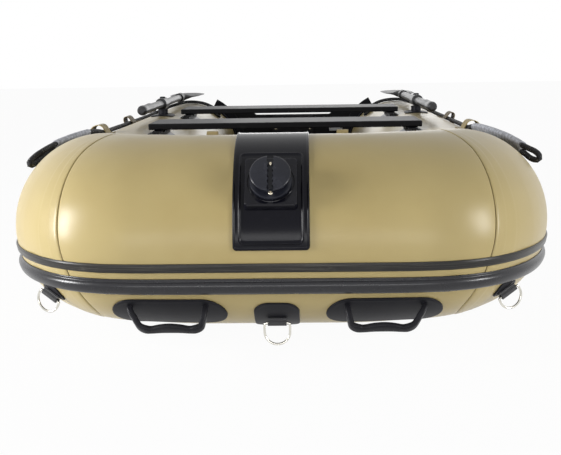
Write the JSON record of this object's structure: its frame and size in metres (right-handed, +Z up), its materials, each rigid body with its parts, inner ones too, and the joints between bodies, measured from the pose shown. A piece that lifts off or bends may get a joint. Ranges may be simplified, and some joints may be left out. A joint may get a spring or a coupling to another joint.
{
  "type": "inflatable boat",
  "caption": "Open inflatable dinghy: a blunt U of air tubes with rub rails, bow plate and jam cleat, carry handles, tow rings, sliding benches, transom, grab lines and oars.",
  "frame": {"origin": "the flat underside of the bottom sheet, on the centre plane, halfway along the tubes", "axes": "+Z up, +Y towards the stern, +X towards port: the bow is at -Y"},
  "size_m": [1.3318, 3.1179, 0.4683],
  "materials": {
    "tan_fabric": "satin coated fabric",
    "bottom_fabric": "satin coated fabric",
    "black_rubber": "satin",
    "black_plastic": "satin moulded",
    "dark_board": "black painted plywood",
    "steel": "polished stainless",
    "aluminium": "satin anodised",
    "rope": "braided"
  },
  "bodies": {
    "hull": {"bottom_sheet": "bottom_fabric", "bow_chamber": "tan_fabric", "bow_plate": "black_rubber", "bow_valve": "black_plastic", "cleat_base": "black_plastic", "cleat_bolt": "steel", "cleat_head": "black_plastic", "floor_panel_front": "dark_board", "floor_panel_middle": "dark_board", "floor_panel_rear": "dark_board", "front_loop_port": "tan_fabric", "front_loop_starboard": "tan_fabric", "front_track_port": "black_plastic", "front_track_starboard": "black_plastic", "handle_grip_port": "black_rubber", "handle_grip_starboard": "black_rubber", "handle_pad_port": "black_rubber", "handle_pad_starboard": "black_rubber", "keel_tube": "bottom_fabric", "lifeline_port": "rope", "lifeline_starboard": "rope", "main_rub_rail": "black_rubber", "middle_loop_port": "tan_fabric", "middle_loop_starboard": "tan_fabric", "motor_pad_inner": "black_plastic", "motor_pad_outer": "black_plastic", "port_chamber": "tan_fabric", "port_valve": "black_plastic", "rear_loop_port": "tan_fabric", "rear_loop_starboard": "tan_fabric", "rear_track_port": "black_plastic", "rear_track_starboard": "black_plastic", "ring_pad_bow": "black_rubber", "ring_pad_port": "black_rubber", "ring_pad_starboard": "black_rubber", "ring_strap_bow": "black_rubber", "ring_strap_port": "black_rubber", "ring_strap_starboard": "black_rubber", "rowlock_port": "black_rubber", "rowlock_starboard": "black_rubber", "starboard_chamber": "tan_fabric", "starboard_valve": "black_plastic", "transom_board": "dark_board", "transom_bracket_port": "black_rubber", "transom_bracket_starboard": "black_rubber", "upper_strake": "black_rubber"},
    "tow_ring_bow": {"tow_ring_bow": "steel"},
    "tow_ring_port": {"tow_ring_port": "steel"},
    "tow_ring_starboard": {"tow_ring_starboard": "steel"},
    "front_bench": {"front_bench": "dark_board", "front_clip_port": "black_plastic", "front_clip_starboard": "black_plastic"},
    "rear_bench": {"rear_bench": "dark_board", "rear_clip_port": "black_plastic", "rear_clip_starboard": "black_plastic"},
    "oar_port": {"oar_port": "aluminium", "oar_blade_port": "black_plastic"},
    "oar_starboard": {"oar_starboard": "aluminium", "oar_blade_starboard": "black_plastic"}
  },
  "joints": [
    {"name": "tow_ring_bow_swing", "type": "hinge", "parent": "hull", "child": "tow_ring_bow", "pos_m": [0, -1.47314, 0.0778], "axis": [1, 0, 0], "range_deg": [-100, 60]},
    {"name": "tow_ring_port_swing", "type": "hinge", "parent": "hull", "child": "tow_ring_port", "pos_m": [0.47713, -1.41887, 0.12471], "axis": [0.8045, 0.3242, 0.4976], "range_deg": [-100, 45]},
    {"name": "tow_ring_starboard_swing", "type": "hinge", "parent": "hull", "child": "tow_ring_starboard", "pos_m": [-0.47713, -1.41887, 0.12471], "axis": [0.8045, -0.3242, -0.4976], "range_deg": [-100, 45]},
    {"name": "front_bench_slide", "type": "slide", "parent": "hull", "child": "front_bench", "axis": [0, 1, 0], "range_m": [-0.06, 0.06]},
    {"name": "rear_bench_slide", "type": "slide", "parent": "hull", "child": "rear_bench", "axis": [0, 1, 0], "range_m": [-0.06, 0.06]},
    {"name": "oar_port_swing", "type": "hinge", "parent": "hull", "child": "oar_port", "pos_m": [0.464, 0.15, 0.4433], "axis": [0, 0, -1], "range_deg": [0, 120]},
    {"name": "oar_starboard_swing", "type": "hinge", "parent": "hull", "child": "oar_starboard", "pos_m": [-0.464, 0.15, 0.4433], "axis": [0, 0, 1], "range_deg": [0, 120]}
  ]
}
